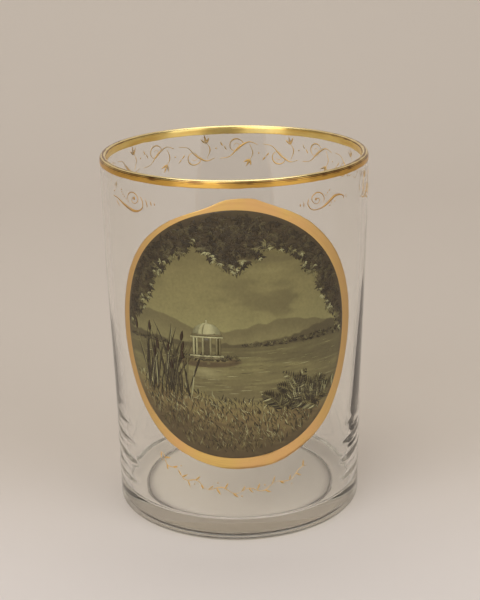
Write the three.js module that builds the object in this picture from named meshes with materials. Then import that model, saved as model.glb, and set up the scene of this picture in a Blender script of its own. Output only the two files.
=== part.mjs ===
// A cylindrical glass beaker with a gilded rim, an oval enamel picture and gilded ornament.
// Millimetres, +Z up. The origin is the middle of the underside, and the picture faces -Y.

import * as THREE from 'three';

// The glass, outside
const glassHeight = 100.6;
const footRadius = 34.54;
const mouthFlare = 1.86;
const flareStart = 4.8;
const flareEnd = 95.8;
const lipLean = 0.13;
const lipLeanHeight = 7;
const heelRadius = 1.9;
const puntToHeel = 5.4;
const puntDepth = 0.5;
const puntFlatness = 16;

// The glass, inside
const floorThickness = 5.75;
const floorCornerRadius = 1.4;
const footWall = 2.6;
const mouthWall = 1.66;
const wallThinsFrom = 9.8;
const wallThinsTo = 56.8;
const wallThinningPower = 1.3;
const lipHeight = 0.83;

// The coats fired onto the glass. Each one lies this far off it and is this thick.
const coatClearance = 0.08;
const gildingThickness = 0.12;
const enamelThickness = 0.2;

// The gold band over the lip
const rimBandOutside = 2.3;
const rimBandInside = 2.2;

// The oval picture and its frame. Widths are measured along the wall.
const frameBelowLip = 5.9;
const frameAboveTable = 22.3;
const frameHalfWidth = 35.1;
const frameSideWidth = 2.8;
const frameTopWidth = 1.6;
const frameBottomWidth = 3.0;
const frameInnerSquareness = 2.2;
const enamelToFrame = 0.15;

// The scrolls beside the picture's top, the spray under it and the border around the back
const strokeWidth = 0.75;
const scrollBelowLip = 6.7;
const leftScrollFromFront = -28.2;
const rightScrollFromFront = 21.3;
const sprayBelowFrame = 8.4;
const spraySpread = 3.6;
const sprayHalfLength = 24;
const sprayWaveHeight = 0.7;
const sprayWaves = 6;
const borderBelowLip = 7.6;
const borderFromFront = 41;
const borderWaveHeight = 3;
const borderWaves = 9;

// How finely the round shapes are divided
const turnSteps = 64;
const wallRows = 9;
const cornerSteps = 5;
const puntShares = [0, 0.82, 0.92, 0.97, 1];
const ovalSteps = 60;
const enamelRings = 9;
const scrollSteps = 30;
const stepsPerWave = 12;

const glass = new THREE.MeshStandardMaterial({
  color: 0xdcd8cc,
  roughness: 0.02,
  metalness: 0,
  transparent: true,
  opacity: 0.3,
});
const gold = new THREE.MeshStandardMaterial({ color: 0xc69a55, roughness: 0.3, metalness: 1 });
const enamel = new THREE.MeshStandardMaterial({ color: 0x6c6746, roughness: 0.35, metalness: 0 });

// The wall's outer radius: the foot's radius, a half cosine out to the mouth's, and a slight lean
// back in below the lip
function outerRadius(height) {
  const flare = THREE.MathUtils.clamp((height - flareStart) / (flareEnd - flareStart), 0, 1);
  const lean = Math.max(0, (height - glassHeight + lipLeanHeight) / lipLeanHeight);
  const widened = (mouthFlare * (1 - Math.cos(Math.PI * flare))) / 2;
  return footRadius + widened - lipLean * lean * lean;
}

// The wall's thickness: thickest at the foot, thinning to the mouth's
function wallThickness(height) {
  const left = THREE.MathUtils.clamp((wallThinsTo - height) / (wallThinsTo - wallThinsFrom), 0, 1);
  return mouthWall + (footWall - mouthWall) * left ** wallThinningPower;
}

function innerRadius(height) {
  return outerRadius(height) - wallThickness(height);
}

// Points along a quarter or half of an ellipse, from one angle to another, both included
function arcPoints(radius, height, radiusReach, heightReach, from, to, steps) {
  return Array.from({ length: steps + 1 }, (_, i) => {
    const angle = THREE.MathUtils.lerp(from, to, i / steps);
    return new THREE.Vector2(
      radius + radiusReach * Math.cos(angle),
      height + heightReach * Math.sin(angle),
    );
  });
}

// Points up or down a wall whose radius is a function of height, without its two ends
function wallPoints(radiusAt, from, to) {
  return Array.from({ length: wallRows - 1 }, (_, i) => {
    const height = THREE.MathUtils.lerp(from, to, (i + 1) / wallRows);
    return new THREE.Vector2(radiusAt(height), height);
  });
}

// A profile of radius and height turned about the Z axis
function turned(profile) {
  return new THREE.LatheGeometry(profile, turnSteps).rotateX(Math.PI / 2);
}

// The beaker: a shallow punt, a flat ring to stand on, a rounded heel, the wall, a half-round lip,
// the inner wall and a thick floor with a rounded corner
function glassBody() {
  const lipBase = glassHeight - lipHeight;
  const cornerTop = floorThickness + floorCornerRadius;
  const halfWall = wallThickness(lipBase) / 2;
  const puntRadius = footRadius - heelRadius - puntToHeel;
  const punt = puntShares.map(
    (share) => new THREE.Vector2(puntRadius * share, puntDepth * (1 - share ** puntFlatness)),
  );
  const profile = [
    ...punt,
    ...arcPoints(footRadius - heelRadius, heelRadius, heelRadius, heelRadius, -Math.PI / 2, 0, cornerSteps),
    ...wallPoints(outerRadius, heelRadius, lipBase),
    ...arcPoints(outerRadius(lipBase) - halfWall, lipBase, halfWall, lipHeight, 0, Math.PI, cornerSteps + 1),
    ...wallPoints(innerRadius, lipBase, cornerTop),
    ...arcPoints(
      innerRadius(cornerTop) - floorCornerRadius,
      cornerTop,
      floorCornerRadius,
      floorCornerRadius,
      0,
      -Math.PI / 2,
      cornerSteps,
    ),
    new THREE.Vector2(0, floorThickness),
  ];
  return turned(profile);
}

// One face of the rim's gold band: up the outside, over the lip and down the inside, off the glass
// by the given distance
function rimLayer(offGlass) {
  const lipBase = glassHeight - lipHeight;
  const halfWall = wallThickness(lipBase) / 2;
  const outsideFoot = glassHeight - rimBandOutside;
  const insideFoot = glassHeight - rimBandInside;
  return [
    new THREE.Vector2(outerRadius(outsideFoot) + offGlass, outsideFoot),
    ...arcPoints(
      outerRadius(lipBase) - halfWall,
      lipBase,
      halfWall + offGlass,
      lipHeight + offGlass,
      0,
      Math.PI,
      cornerSteps + 1,
    ),
    new THREE.Vector2(innerRadius(insideFoot) - offGlass, insideFoot),
  ];
}

function rimGilding() {
  const nearGlass = rimLayer(coatClearance);
  const farFromGlass = rimLayer(coatClearance + gildingThickness);
  return turned([...farFromGlass, ...nearGlass.reverse(), farFromGlass[0]]);
}

// A point on the outer wall, from how far it lies around the wall from the front, its height, and
// how far it is lifted off the glass
function onWall(around, height, lift) {
  const radius = outerRadius(height);
  const angle = around / radius;
  return [(radius + lift) * Math.sin(angle), -(radius + lift) * Math.cos(angle), height];
}

// A coat on the wall from a grid of places (around, height). Rows run along the coat, and each row
// runs from its right edge to its left. closed joins the last row to the first, and pole says that
// the left edges all meet in one point.
function coat(rows, thickness, { closed = false, pole = false } = {}) {
  const across = rows[0].length;
  const places = rows.flat();
  const positions = [coatClearance, coatClearance + thickness].flatMap((lift) =>
    places.flatMap(({ x, y }) => onWall(x, y, lift)),
  );
  const near = (row, column) => (row % rows.length) * across + column;
  const far = (row, column) => places.length + near(row, column);
  const triangles = [];
  const quad = (a, b, c, d) => triangles.push(a, b, c, a, c, d);
  const spans = closed ? rows.length : rows.length - 1;
  for (let row = 0; row < spans; row += 1) {
    for (let column = 0; column < across - 1; column += 1) {
      quad(far(row, column), far(row + 1, column), far(row + 1, column + 1), far(row, column + 1));
      quad(near(row, column), near(row, column + 1), near(row + 1, column + 1), near(row + 1, column));
    }
    quad(near(row, 0), near(row + 1, 0), far(row + 1, 0), far(row, 0));
    if (!pole) {
      const last = across - 1;
      quad(near(row, last), far(row, last), far(row + 1, last), near(row + 1, last));
    }
  }
  if (!closed) {
    const end = rows.length - 1;
    for (let column = 0; column < across - 1; column += 1) {
      quad(near(0, column), far(0, column), far(0, column + 1), near(0, column + 1));
      quad(near(end, column), near(end, column + 1), far(end, column + 1), far(end, column));
    }
  }
  const geometry = new THREE.BufferGeometry();
  geometry.setAttribute('position', new THREE.Float32BufferAttribute(positions, 3));
  geometry.setIndex(triangles);
  return geometry;
}

// Places around an oval: x along the wall from the front, y the height. A squareness of 2 is a plain
// ellipse, and more fills out its corners.
function oval(middleHeight, halfWidth, halfHeight, squareness) {
  return Array.from({ length: ovalSteps }, (_, i) => {
    const angle = (i / ovalSteps) * 2 * Math.PI;
    const cosine = Math.cos(angle);
    const sine = Math.sin(angle);
    const power = 2 / squareness;
    return new THREE.Vector2(
      halfWidth * Math.sign(cosine) * Math.abs(cosine) ** power,
      middleHeight + halfHeight * Math.sign(sine) * Math.abs(sine) ** power,
    );
  });
}

const frameTop = glassHeight - frameBelowLip;
const frameBottom = frameAboveTable;

// The frame's outer edge, and the opening inside it drawn in by the given distance
function frameOuterEdge() {
  return oval((frameTop + frameBottom) / 2, frameHalfWidth, (frameTop - frameBottom) / 2, 2);
}

function frameOpening(drawnIn) {
  const top = frameTop - frameTopWidth - drawnIn;
  const bottom = frameBottom + frameBottomWidth + drawnIn;
  const halfWidth = frameHalfWidth - frameSideWidth - drawnIn;
  return oval((top + bottom) / 2, halfWidth, (top - bottom) / 2, frameInnerSquareness);
}

function medallionFrame() {
  const inner = frameOpening(0);
  const rows = frameOuterEdge().map((outer, i) => [
    outer,
    outer.clone().lerp(inner[i], 0.5),
    inner[i],
  ]);
  return coat(rows, gildingThickness, { closed: true });
}

function medallionEnamel() {
  const middle = new THREE.Vector2(0, (frameTop + frameBottom) / 2);
  const rows = frameOpening(enamelToFrame).map((edge) =>
    Array.from({ length: enamelRings + 1 }, (_, ring) => edge.clone().lerp(middle, ring / enamelRings)),
  );
  return coat(rows, enamelThickness, { closed: true, pole: true });
}

// A stroke of gilding along a path on the wall. pathAt gives a place from a share of the way, and
// the stroke is narrow at both ends.
function stroke(pathAt, steps) {
  const rows = Array.from({ length: steps + 1 }, (_, i) => {
    const share = i / steps;
    const step = 0.5 / steps;
    const ahead = pathAt(Math.min(share + step, 1));
    const behind = pathAt(Math.max(share - step, 0));
    const along = ahead.clone().sub(behind).normalize();
    const half = (strokeWidth / 2) * (0.35 + 0.65 * Math.sin(Math.PI * share));
    const left = new THREE.Vector2(-along.y, along.x).multiplyScalar(half);
    const middle = pathAt(share);
    return [middle.clone().sub(left), middle.clone().add(left)];
  });
  return coat(rows, gildingThickness);
}

// A scroll's stroke about the eye of its curl: the tail, the bow under it and the curl
const scrollPlaces = [
  [-9.2, -0.8],
  [-5.8, -1.4],
  [-2.2, -2.7],
  [0.9, -2.7],
  [2.5, -1.4],
  [2.5, 0],
  [0.9, 1.6],
  [-1, 1.7],
  [-2.2, 0.4],
  [-1.4, -0.9],
  [0.3, -0.1],
];

function scroll(fromFront, side) {
  const height = glassHeight - scrollBelowLip;
  const curve = new THREE.SplineCurve(
    scrollPlaces.map(([along, up]) => new THREE.Vector2(fromFront + side * along, height + up)),
  );
  return stroke((share) => curve.getPointAt(share), scrollSteps);
}

// The spray under the picture: a waved stroke along an oval wider and lower than the frame
function lowerSpray() {
  const middleHeight = (frameTop + frameBottom) / 2;
  const halfWidth = frameHalfWidth + spraySpread;
  const halfHeight = middleHeight - frameBottom + sprayBelowFrame;
  const pathAt = (share) => {
    const around = sprayHalfLength * (2 * share - 1);
    const drop = halfHeight * Math.sqrt(1 - (around / halfWidth) ** 2);
    const wave = sprayWaveHeight * Math.sin(2 * Math.PI * sprayWaves * share);
    return new THREE.Vector2(around, middleHeight - drop + wave);
  };
  return stroke(pathAt, sprayWaves * stepsPerWave);
}

// The border around the back: a waved stroke from beside one scroll to beside the other
function backBorder() {
  const height = glassHeight - borderBelowLip;
  const length = 2 * Math.PI * outerRadius(height) - 2 * borderFromFront;
  const pathAt = (share) =>
    new THREE.Vector2(
      borderFromFront + length * share,
      height + borderWaveHeight * Math.sin(2 * Math.PI * borderWaves * share),
    );
  return stroke(pathAt, borderWaves * stepsPerWave);
}

function piece(name, geometry, material) {
  const mesh = new THREE.Mesh(geometry, material);
  mesh.name = name;
  return mesh;
}

const beaker = new THREE.Group();
beaker.add(
  piece('glass_body', glassBody(), glass),
  piece('rim_gilding', rimGilding(), gold),
  piece('medallion_enamel', medallionEnamel(), enamel),
  piece('medallion_frame', medallionFrame(), gold),
  piece('scroll_left', scroll(leftScrollFromFront, 1), gold),
  piece('scroll_right', scroll(rightScrollFromFront, -1), gold),
  piece('lower_spray', lowerSpray(), gold),
  piece('back_border', backBorder(), gold),
);

export default beaker;
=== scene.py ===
import bpy
import numpy as np
from bpy.props import FloatProperty, FloatVectorProperty, IntProperty, PointerProperty
from mathutils import Matrix, Vector


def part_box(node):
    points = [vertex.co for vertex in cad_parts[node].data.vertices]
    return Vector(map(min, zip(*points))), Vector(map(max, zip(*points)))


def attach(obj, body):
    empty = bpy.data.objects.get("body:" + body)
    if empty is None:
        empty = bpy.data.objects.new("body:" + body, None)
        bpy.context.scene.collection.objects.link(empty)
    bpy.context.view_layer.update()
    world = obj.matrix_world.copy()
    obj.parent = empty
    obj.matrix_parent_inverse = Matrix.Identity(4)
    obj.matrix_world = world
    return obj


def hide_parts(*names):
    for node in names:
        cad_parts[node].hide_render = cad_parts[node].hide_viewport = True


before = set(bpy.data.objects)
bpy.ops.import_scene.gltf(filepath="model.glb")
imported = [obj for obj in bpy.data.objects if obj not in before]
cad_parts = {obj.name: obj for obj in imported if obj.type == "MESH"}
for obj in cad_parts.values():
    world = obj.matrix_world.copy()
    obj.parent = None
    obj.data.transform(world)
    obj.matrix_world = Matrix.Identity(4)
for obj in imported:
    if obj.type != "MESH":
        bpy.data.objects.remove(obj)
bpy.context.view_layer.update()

bl_info = {
    "name": "Gilded beaker",
    "version": (1, 0, 0),
    "blender": (4, 5, 0),
    "location": "3D View > Sidebar > Beaker",
    "description": "A glass beaker with a gilded lip, an enamel picture and gilded ornament",
    "category": "Add Mesh",
}

MM = 0.001
BODY = "root"
GLASS_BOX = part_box("glass_body")

# Properties

def length(name, millimetres, description):
    """A length, written in millimetres and kept in metres"""
    return FloatProperty(
        name=name, description=description, default=millimetres * MM, precision=6, unit="LENGTH"
    )


def number(name, value, description):
    """A plain number"""
    return FloatProperty(name=name, description=description, default=value, precision=3)


def linear(screen):
    """Linear light from screen values of 0 to 255, by the sRGB curve: a straight foot, then a power"""
    share = np.asarray(screen, float) / 255
    return np.where(share <= 0.04045, share / 12.92, ((share + 0.055) / 1.055) ** 2.4)


def colour(name, red, green, blue, description):
    """A colour, written in screen values of 0 to 255 and kept as linear light"""
    default = tuple(linear((red, green, blue)))
    return FloatVectorProperty(
        name=name, description=description, default=default, min=0, max=1, size=3, subtype="COLOR"
    )


class GlassSettings(bpy.types.PropertyGroup):
    height: length("Height", GLASS_BOX[1].z / MM, "Height of the glass")
    foot_radius: length("Foot radius", 34.54, "Outer radius above the heel")
    mouth_flare: length("Mouth flare", 1.86, "How much wider the mouth's radius is than the foot's")
    flare_start: length("Flare start", 4.8, "Height where the wall starts to widen")
    flare_end: length("Flare end", 95.8, "Height where the wall stops widening")
    lip_lean: length("Lip lean", 0.13, "How far the lip leans back in")
    lean_height: length("Lean height", 7, "Height of the stretch that leans in")
    heel_radius: length("Heel radius", 1.9, "Radius of the rounding where the wall meets the underside")
    punt_to_heel: length("Standing ring", 5.4, "Width of the flat ring that the beaker stands on")
    punt_depth: length("Punt depth", 0.4, "Depth of the hollow in the underside, at its edge")
    punt_edge: length("Punt edge", 0.12, "Width of the hollow's rounded edge")
    punt_dome: length("Punt dome", 0.1, "How much deeper the hollow is in its middle")
    floor_thickness: length("Floor thickness", 5.75, "Glass under the drink")
    corner_radius: length("Corner radius", 1.4, "Rounding between the floor and the inner wall")
    foot_wall: length("Wall at foot", 2.6, "Wall thickness above the floor")
    mouth_wall: length("Wall at mouth", 1.66, "Wall thickness in the upper part")
    thins_from: length("Thins from", 9.8, "Height where the wall starts to thin")
    thins_to: length("Thins to", 56.8, "Height where the wall stops thinning")
    thinning_power: number("Thinning power", 1.3, "Power of the wall's thinning")
    lip_height: length("Lip height", 0.83, "Height of the rounded lip")
    ripple_depth: length("Ripple depth", 0.15, "Depth of the tooling rings low in the wall")
    ripple_spacing: length("Ripple spacing", 5.5, "Height from one tooling ring to the next")
    fold_depth: length("Fold depth", 0.4, "How far an upright fold in the inner wall stands in")
    fold_angle: number("Fold angle", 1.08, "Where that fold starts low down, in radians from the front")
    fold_slant: number("Fold slant", 4.5, "How much further back it starts, in radians per metre of height")
    unevenness: length("Unevenness", 0.03, "Slow change in the blown wall's thickness")
    tint: colour("Tint", 253, 253, 252, "Colour of the glass surface")
    # Painted shade: the ground edge colour is a dark line painted into the glass at the hollow's edge
    painted_edge_shade: colour("Ground edge", 70, 62, 52, "Colour of the thin dark line at the hollow's edge")
    cast: colour("Cast", 178, 170, 142, "Colour that thick glass takes")
    cast_density: number("Cast density", 10, "Strength of that colour per metre of glass")
    shade: colour("Shade", 246, 245, 242, "Light that each face lets through to the table")
    under_shade: colour("Under shade", 255, 254, 250, "Light that the underside lets through")
    ring_shade: colour("Ring shade", 20, 19, 17, "Light that the punt's edge lets through")


class GildingSettings(bpy.types.PropertyGroup):
    lip_outside: length("Lip band outside", 1.85, "How far the lip's band reaches down outside")
    lip_inside: length("Lip band inside", 2.2, "How far the lip's band reaches down inside")
    edge_wander: length("Edge wander", 0.14, "How far the brushed edges stray")
    clearance: length("Clearance", 0.03, "Space between the glass and the coats")
    thickness: length("Thickness", 0.1, "Thickness of the gilding")
    burnished: colour("Burnished gold", 255, 228, 146, "Gold on the lip")
    burnished_thin: colour("Burnished gold, thin", 242, 200, 108, "The same where the brush left less")
    # Painted highlight: the crest colour pales the lip's round top where the lights catch it
    crest: colour("Crest gold", 255, 236, 178, "Gold on the lip's round top")
    # Painted shade: the outside band's gold is darkened to dim its highlights
    shaded_outside_gold: colour("Burnished gold outside", 222, 174, 84, "Gold of the band outside")
    # The worn gold colour also paints shade: the dark lines at the lip's two sides are painted shade
    worn: colour("Worn gold", 130, 92, 54, "Gold where the lip is rubbed")
    satin: colour("Satin gold", 240, 204, 122, "Gold of the frame around the picture")
    satin_shade: colour("Satin gold, thin", 224, 184, 110, "The same where the brush left less")
    satin_warm: colour("Satin gold, warm", 236, 188, 128, "The same in its redder patches")
    # Painted shade: the frame's gold is darkened towards this colour on the oval's two sides
    satin_side_shade: colour("Satin gold, sides", 208, 172, 116, "The same on the oval's two sides")
    pen: colour("Pen gold", 214, 166, 92, "Gold of the scrolls and sprays")
    pen_thin: colour("Pen gold, thin", 196, 160, 118, "The same where it is worn away")
    pale: colour("Pale gold", 236, 192, 116, "Lighter gold of the lower spray and the back border")
    pale_thin: colour("Pale gold, thin", 218, 192, 150, "The same where it is worn away")


class PictureSettings(bpy.types.PropertyGroup):
    middle_along: length("Middle along", -0.4, "How far right of the front the opening's middle lies")
    middle_height: length("Middle height", 59.2, "Height of the opening's middle")
    half_width: length("Half width", 32.3, "Half the opening's width along the wall")
    half_height: length("Half height", 33.9, "Half the opening's height")
    squareness_left: number("Squareness, upper left", 2.04, "2 is an ellipse, and more fills the corner")
    squareness_right: number("Squareness, upper right", 1.85, "The same for the upper right")
    squareness_low_left: number("Squareness, lower left", 2.04, "The same for the lower left")
    squareness_low_right: number("Squareness, lower right", 2.18, "The same for the lower right")
    clearance: length("Clearance", 0.03, "Space between the glass and the enamel")
    thickness: length("Thickness", 0.2, "Thickness of the enamel")
    seed: IntProperty(name="Seed", description="Start of the brush strokes' random draws", default=7)


class StageSettings(bpy.types.PropertyGroup):
    table: colour("Table", 217, 208, 201, "Colour of the table")
    # Painted shade: the backdrop colour is darker than the table's, for the light that falls off up the
    # sheet
    backdrop: colour("Backdrop", 201, 190, 178, "Colour of the backdrop")
    ceiling: colour("Ceiling", 84, 76, 66, "Colour of the room overhead, seen in gold and on the glass")
    skylight: colour("Skylight", 250, 246, 237, "Colour of the room overhead, seen through the glass")
    room: colour("Room", 240, 238, 236, "Colour of the light from all round")
    drop: length("Drop", 0.1, "Air between the table and the standing ring")
    key_power: number("Key light", 13, "Power of the large light on the left, in watts")
    fill_power: number("Fill light", 6, "Power of the light on the right, in watts")
    top_power: number("Top light", 10, "Power of the light above, in watts")
    room_strength: number("Room light", 0.25, "Strength of the light from all round")


# Curves and noise

def rise(value, low, high):
    """0 below low, 1 above high, and eased between them by 3t² - 2t³"""
    t = np.clip((value - low) / (high - low), 0, 1)
    return t * t * (3 - 2 * t)


def hump(value, middle, half_width):
    """A smooth hump of height 1: a Gauss curve"""
    return np.exp(-(((value - middle) / half_width) ** 2))


LATTICE = 97


def wander(values, size, seed):
    """Smooth random numbers between -1 and 1 along two coordinates: random heights on a square lattice
    of the given size, eased between its points by the curve 3t² - 2t³"""
    random = np.random.default_rng(seed)
    lattice = random.uniform(-1, 1, (LATTICE, LATTICE))
    scaled = [np.asarray(value) / size for value in values]
    whole = [np.floor(value).astype(int) for value in scaled]
    part = [value - floor for value, floor in zip(scaled, whole)]
    ease_x, ease_y = [t * t * (3 - 2 * t) for t in part]
    x, y = [value % LATTICE for value in whole]
    next_x, next_y = (x + 1) % LATTICE, (y + 1) % LATTICE
    low = lattice[x, y] * (1 - ease_x) + lattice[next_x, y] * ease_x
    high = lattice[x, next_y] * (1 - ease_x) + lattice[next_x, next_y] * ease_x
    return low * (1 - ease_y) + high * ease_y


def ring_wander(angle, waves, seed):
    """Smooth random numbers around a ring that meet where it closes: three layers of lattice noise on
    a circle's own two coordinates, each finer and fainter"""
    x, y = np.cos(angle) * waves, np.sin(angle) * waves
    layers = [wander((x, y), 1 / scale, seed + scale) / scale for scale in (1, 2, 4)]
    return sum(layers) / (1 + 1 / 2 + 1 / 4)


def all_round(count):
    """Angles once round, from the front or from the right"""
    return np.linspace(0, 2 * np.pi, count, endpoint=False)


def unit(vectors):
    """Vectors made 1 long"""
    return vectors / np.maximum(np.linalg.norm(vectors, axis=-1, keepdims=True), 1e-12)


def left_of(ahead):
    """Flat vectors turned a quarter to the left"""
    return np.stack([-ahead[..., 1], ahead[..., 0]], -1)


def through(points, stations):
    """A smooth curve through points: each span is a cubic whose slopes at the points come from the
    neighbours on either side, sampled evenly by its share of the points"""
    points = np.asarray(points, float)
    padded = np.vstack([2 * points[0] - points[1], points, 2 * points[-1] - points[-2]])
    share = np.linspace(0, len(points) - 1, stations)
    span = np.minimum(share.astype(int), len(points) - 2)
    t = (share - span)[:, None]
    before, start, end, after = (padded[span + offset] for offset in range(4))
    leaving, arriving = (end - before) / 2, (after - start) / 2
    cubic = 2 * (start - end) + leaving + arriving
    square = 3 * (end - start) - 2 * leaving - arriving
    return start + leaving * t + square * t**2 + cubic * t**3


# Shapes of the glass

def outer_radius(height):
    """The foot's radius, widened by a half cosine up the wall, less a squared lean below the lip"""
    glass = bpy.context.scene.beaker_glass
    flare = np.clip((height - glass.flare_start) / (glass.flare_end - glass.flare_start), 0, 1)
    widened = glass.mouth_flare * (1 - np.cos(np.pi * flare)) / 2
    lean = np.maximum(0, (height - glass.height + glass.lean_height) / glass.lean_height)
    return glass.foot_radius + widened - glass.lip_lean * lean**2


def wall_thickness(height):
    """The mouth's thickness, and more by a power of what is left of the way up from the foot"""
    glass = bpy.context.scene.beaker_glass
    left = np.clip((glass.thins_to - height) / (glass.thins_to - glass.thins_from), 0, 1)
    return glass.mouth_wall + (glass.foot_wall - glass.mouth_wall) * left**glass.thinning_power


def inner_radius(height):
    """The outer radius less the wall's thickness"""
    return outer_radius(height) - wall_thickness(height)


def lip_section():
    """The lip's rounding: the height of its base, its middle's radius, and half the wall there"""
    glass = bpy.context.scene.beaker_glass
    base = glass.height - glass.lip_height
    half_wall = wall_thickness(base) / 2
    return base, outer_radius(base) - half_wall, half_wall


def arc(radius, height, radius_reach, height_reach, start, end, steps):
    """Points of an elliptical arc: cosine times one reach across, sine times the other up"""
    angle = np.linspace(start, end, steps + 1)
    return np.column_stack([radius + radius_reach * np.cos(angle), height + height_reach * np.sin(angle)])


def wall_line(radius_at, low, high, rows):
    """Points up a wall without the two ends, closer together low down: the share of the way to the
    power of 1.5"""
    height = low + (high - low) * np.linspace(0, 1, rows + 1)[1:-1] ** 1.5
    return np.column_stack([radius_at(height), height])


def about_axis(radius, angle, height):
    """Points by their radius, their angle from the front and their height"""
    return np.stack(np.broadcast_arrays(radius * np.sin(angle), -radius * np.cos(angle), height), -1)


def on_wall(place, lift):
    """A place (along the wall, height) on the outer wall. Its angle is the distance along the wall
    divided by the radius there, and lift moves it straight out of the glass."""
    along, height = place[..., 0], place[..., 1]
    radius = outer_radius(height)
    return about_axis(radius + lift, along / radius, height)


# Meshes

def grid_faces(rows, columns, row_wraps, column_wraps):
    """Four-cornered faces between the neighbours of a grid of points, numbered row by row"""
    row = np.arange(rows if row_wraps else rows - 1)[:, None]
    column = np.arange(columns if column_wraps else columns - 1)[None, :]
    here = row * columns
    beyond = (row + 1) % rows * columns
    following = (column + 1) % columns
    face = [here + column, here + following, beyond + following, beyond + column]
    return np.stack(face, -1).reshape(-1, 4)


def enclosed_volume(points, faces):
    """The volume inside faces that point outwards, as a sum of corner tetrahedra"""
    total = 0.0
    for face in faces:
        first = points[face[:, 0]]
        for corner in range(1, face.shape[1] - 1):
            second = points[face[:, corner]]
            third = points[face[:, corner + 1]]
            total += np.einsum("ij,ij->", first, np.cross(second, third)) / 6
    return total


def new_object(name, data):
    """An object in the scene, with its mesh, light or camera"""
    thing = bpy.data.objects.new(name, data)
    bpy.context.scene.collection.objects.link(thing)
    return thing


def new_mesh(name, points, faces, material):
    """A smooth mesh object from an array of points and a list of arrays of faces"""
    mesh = bpy.data.meshes.new(name)
    mesh.from_pydata(points.tolist(), [], [face for group in faces for face in group.tolist()])
    mesh.update()
    mesh.shade_smooth()
    mesh.materials.append(material)
    return new_object(name, mesh)


def new_piece(name, points, faces, material, node=None):
    """A piece of the beaker, turned to face outwards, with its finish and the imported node
    that it stands for"""
    points = points.reshape(-1, 3)
    if enclosed_volume(points, faces) < 0:
        faces = [face[:, ::-1] for face in faces]
    piece = new_mesh(name, points, faces, material)
    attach(piece, BODY)
    if node:
        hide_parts(node)
    return piece


def add_numbers(piece, name, values):
    """Keeps one number per point under a name that materials can read"""
    attribute = piece.data.attributes.new(name, "FLOAT", "POINT")
    attribute.data.foreach_set("value", np.ravel(values).astype(np.float32))


def add_paint(piece, screen):
    """Keeps one colour per point, given in screen values, for the enamel to read"""
    flat = np.reshape(linear(screen), (-1, 3))
    attribute = piece.data.color_attributes.new("paint", "FLOAT_COLOR", "POINT")
    covered = np.column_stack([flat, np.ones(len(flat))])
    attribute.data.foreach_set("color", np.ravel(covered).astype(np.float32))


def turned(profile, turns, push):
    """A profile of radius and height, from the axis round to the axis, turned about it. push moves each
    point out by a distance worked out from its angle and its row."""
    rows = profile[1:-1]
    angle = all_round(turns)[None, :]
    body = about_axis(rows[:, :1] + push(angle, rows), angle, rows[:, 1:]).reshape(-1, 3)
    ends = [[0, 0, profile[0, 1]], [0, 0, profile[-1, 1]]]
    column = np.arange(turns)
    following = (column + 1) % turns
    last = (len(rows) - 1) * turns
    first_cap = np.column_stack([np.full(turns, len(body)), following, column])
    last_cap = np.column_stack([np.full(turns, len(body) + 1), last + column, last + following])
    return np.vstack([body, ends]), [grid_faces(len(rows), turns, False, True), first_cap, last_cap]


def strokes(paths, half_widths, lift, thickness):
    """Brush or pen strokes on the wall. paths is strokes × stations × 2 places and half_widths is
    strokes × stations. Each station has four points: the stroke's two edges, at right angles to its
    way, a raised middle and a low middle. The ends are closed by one face each."""
    across = left_of(unit(np.gradient(paths, axis=1))) * half_widths[..., None]
    edge_lift = lift + 0.3 * thickness
    section = [
        on_wall(paths + across, edge_lift),
        on_wall(paths, lift + thickness),
        on_wall(paths - across, edge_lift),
        on_wall(paths, lift),
    ]
    count, stations = paths.shape[:2]
    end = (stations - 1) * 4
    caps = [[3, 2, 1, 0], [end, end + 1, end + 2, end + 3]]
    face = np.vstack([grid_faces(stations, 4, False, True), caps])
    shift = (np.arange(count) * stations * 4)[:, None, None]
    return np.stack(section, 2).reshape(-1, 3), (face + shift).reshape(-1, 4)


def dabs(places, directions, lengths, widths, bends, stations):
    """Leaf-shaped brush dabs. The spine runs straight along its direction, bent aside by the square of
    the share of the way, and the half width is a sine that leans towards the root. Anything but the
    places may be one number for all."""
    directions, lengths, widths, bends = (
        np.broadcast_to(values, len(places))[:, None] for values in (directions, lengths, widths, bends)
    )
    share = np.linspace(0, 1, stations)[None, :]
    heading = np.stack([np.cos(directions), np.sin(directions)], -1)
    run = (share * lengths)[..., None]
    bent = (share**2 * (bends * lengths))[..., None]
    paths = places[:, None, :] + heading * run + left_of(heading) * bent
    swell = 0.12 + 0.88 * np.sin(np.pi * share**0.8)
    return paths, swell * widths / 2


def joined(groups):
    """Several groups of strokes as one: the face numbers of each are shifted past those before it, and
    whatever else a group holds is stacked"""
    points, faces, *others = zip(*groups)
    shifts = np.cumsum([0] + [len(group) for group in points[:-1]])
    shifted = np.vstack([group + shift for group, shift in zip(faces, shifts)])
    return np.vstack(points), [shifted], *(np.vstack(other) for other in others)


# Materials

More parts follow.
